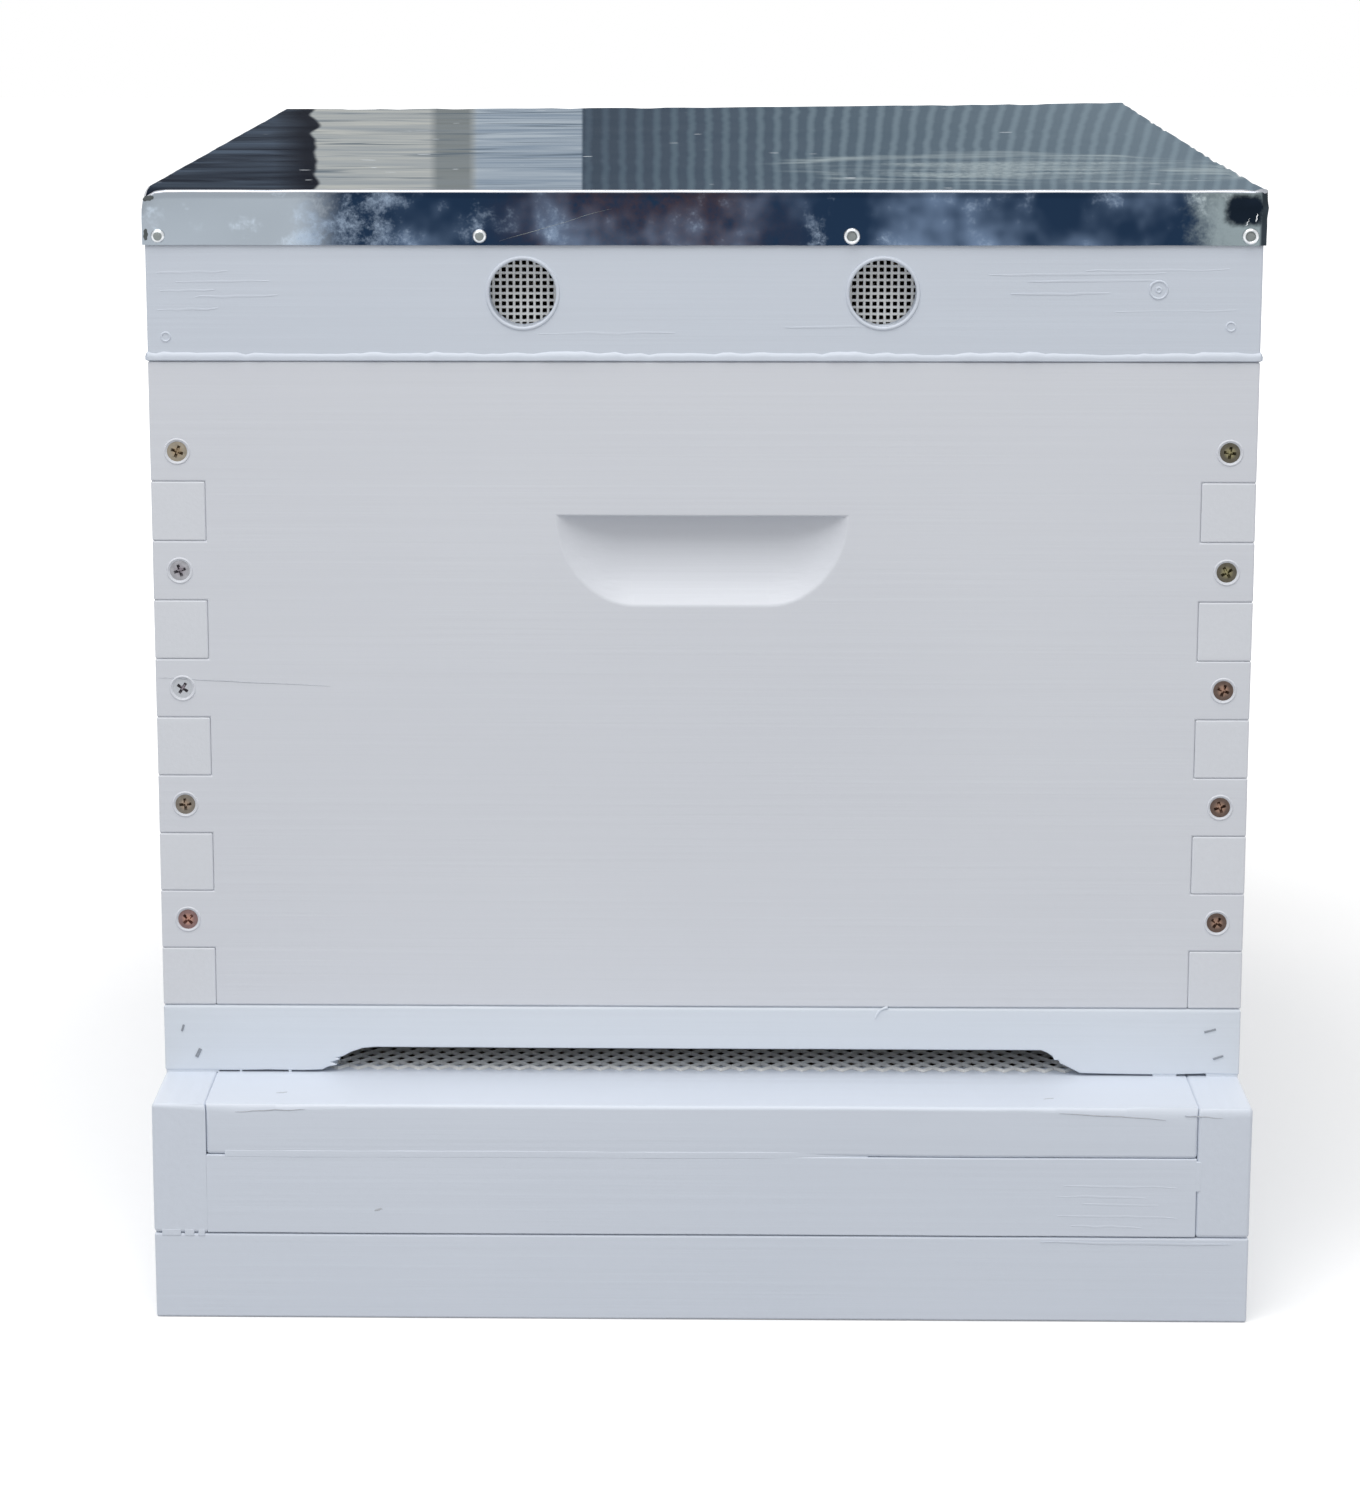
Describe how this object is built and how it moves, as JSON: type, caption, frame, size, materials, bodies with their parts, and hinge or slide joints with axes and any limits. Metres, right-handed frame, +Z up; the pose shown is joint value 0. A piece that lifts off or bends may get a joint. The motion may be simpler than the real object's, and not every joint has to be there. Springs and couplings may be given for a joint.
{
  "type": "beehive",
  "caption": "Painted wooden beehive: finger-jointed box of hanging frames on a screened floor with a landing board and tray, under a vented lid with a metal sheet.",
  "frame": {"origin": "on the ground, under the middle of the whole hive", "axes": "+Z up, -Y out of the entrance, +X to the right seen from the front"},
  "size_m": [0.4104, 0.5502, 0.4161],
  "materials": {
    "painted_pine": "brushed white house paint on pine",
    "bare_pine": "planed, untreated pine",
    "plywood": "sanded plywood",
    "hardboard": "smooth hardboard",
    "beeswax": "embossed wax sheet",
    "galvanised_sheet": "weathered bright galvanised sheet",
    "mesh_steel": "galvanised mesh",
    "screw_steel": "zinc-plated, tarnished",
    "clout_steel": "galvanised clout heads",
    "nail_steel": "steel nails under paint"
  },
  "bodies": {
    "floor": {"stand_front": "painted_pine", "stand_back": "painted_pine", "stand_left": "painted_pine", "stand_right": "painted_pine", "stand_nails": "nail_steel", "floor_rail_left": "painted_pine", "floor_rail_right": "painted_pine", "front_board": "painted_pine", "landing_board": "painted_pine", "floor_back_bar": "painted_pine", "floor_mesh": "mesh_steel", "entrance_bar": "painted_pine", "rim_left": "painted_pine", "rim_right": "painted_pine", "rim_back": "painted_pine", "floor_nails": "nail_steel"},
    "tray": {"tray_board": "hardboard", "tray_handle": "painted_pine"},
    "brood_box": {"box_front": "painted_pine", "box_back": "painted_pine", "box_left": "painted_pine", "box_right": "painted_pine", "box_screws": "screw_steel"},
    "lid": {"lid_front": "painted_pine", "lid_back": "painted_pine", "lid_left": "painted_pine", "lid_right": "painted_pine", "lid_nails": "nail_steel", "lid_panel": "plywood", "metal_cover": "galvanised_sheet", "cover_clouts": "clout_steel", "vent_mesh_front_left": "mesh_steel", "vent_mesh_front_right": "mesh_steel", "vent_mesh_back_left": "mesh_steel", "vent_mesh_back_right": "mesh_steel"},
    "comb_frame_1": {"frame_1": "bare_pine", "foundation_1": "beeswax"},
    "comb_frame_2": {"frame_2": "bare_pine", "foundation_2": "beeswax"},
    "comb_frame_3": {"frame_3": "bare_pine", "foundation_3": "beeswax"},
    "comb_frame_4": {"frame_4": "bare_pine", "foundation_4": "beeswax"},
    "comb_frame_5": {"frame_5": "bare_pine", "foundation_5": "beeswax"},
    "comb_frame_6": {"frame_6": "bare_pine", "foundation_6": "beeswax"},
    "comb_frame_7": {"frame_7": "bare_pine", "foundation_7": "beeswax"},
    "comb_frame_8": {"frame_8": "bare_pine", "foundation_8": "beeswax"},
    "comb_frame_9": {"frame_9": "bare_pine", "foundation_9": "beeswax"},
    "comb_frame_10": {"frame_10": "bare_pine", "foundation_10": "beeswax"}
  },
  "joints": [
    {"name": "box_lift", "type": "slide", "parent": "floor", "child": "brood_box", "axis": [0, 0, 1], "range_m": [0, 0.3]},
    {"name": "lid_lift", "type": "slide", "parent": "brood_box", "child": "lid", "axis": [0, 0, 1], "range_m": [0, 0.3]},
    {"name": "tray_slide", "type": "slide", "parent": "floor", "child": "tray", "axis": [0, 1, 0], "range_m": [0, 0.46]},
    {"name": "frame_1_lift", "type": "slide", "parent": "brood_box", "child": "comb_frame_1", "axis": [0, 0, 1], "range_m": [0, 0.05]},
    {"name": "frame_2_lift", "type": "slide", "parent": "brood_box", "child": "comb_frame_2", "axis": [0, 0, 1], "range_m": [0, 0.05]},
    {"name": "frame_3_lift", "type": "slide", "parent": "brood_box", "child": "comb_frame_3", "axis": [0, 0, 1], "range_m": [0, 0.05]},
    {"name": "frame_4_lift", "type": "slide", "parent": "brood_box", "child": "comb_frame_4", "axis": [0, 0, 1], "range_m": [0, 0.05]},
    {"name": "frame_5_lift", "type": "slide", "parent": "brood_box", "child": "comb_frame_5", "axis": [0, 0, 1], "range_m": [0, 0.05]},
    {"name": "frame_6_lift", "type": "slide", "parent": "brood_box", "child": "comb_frame_6", "axis": [0, 0, 1], "range_m": [0, 0.05]},
    {"name": "frame_7_lift", "type": "slide", "parent": "brood_box", "child": "comb_frame_7", "axis": [0, 0, 1], "range_m": [0, 0.05]},
    {"name": "frame_8_lift", "type": "slide", "parent": "brood_box", "child": "comb_frame_8", "axis": [0, 0, 1], "range_m": [0, 0.05]},
    {"name": "frame_9_lift", "type": "slide", "parent": "brood_box", "child": "comb_frame_9", "axis": [0, 0, 1], "range_m": [0, 0.05]},
    {"name": "frame_10_lift", "type": "slide", "parent": "brood_box", "child": "comb_frame_10", "axis": [0, 0, 1], "range_m": [0, 0.05]}
  ]
}
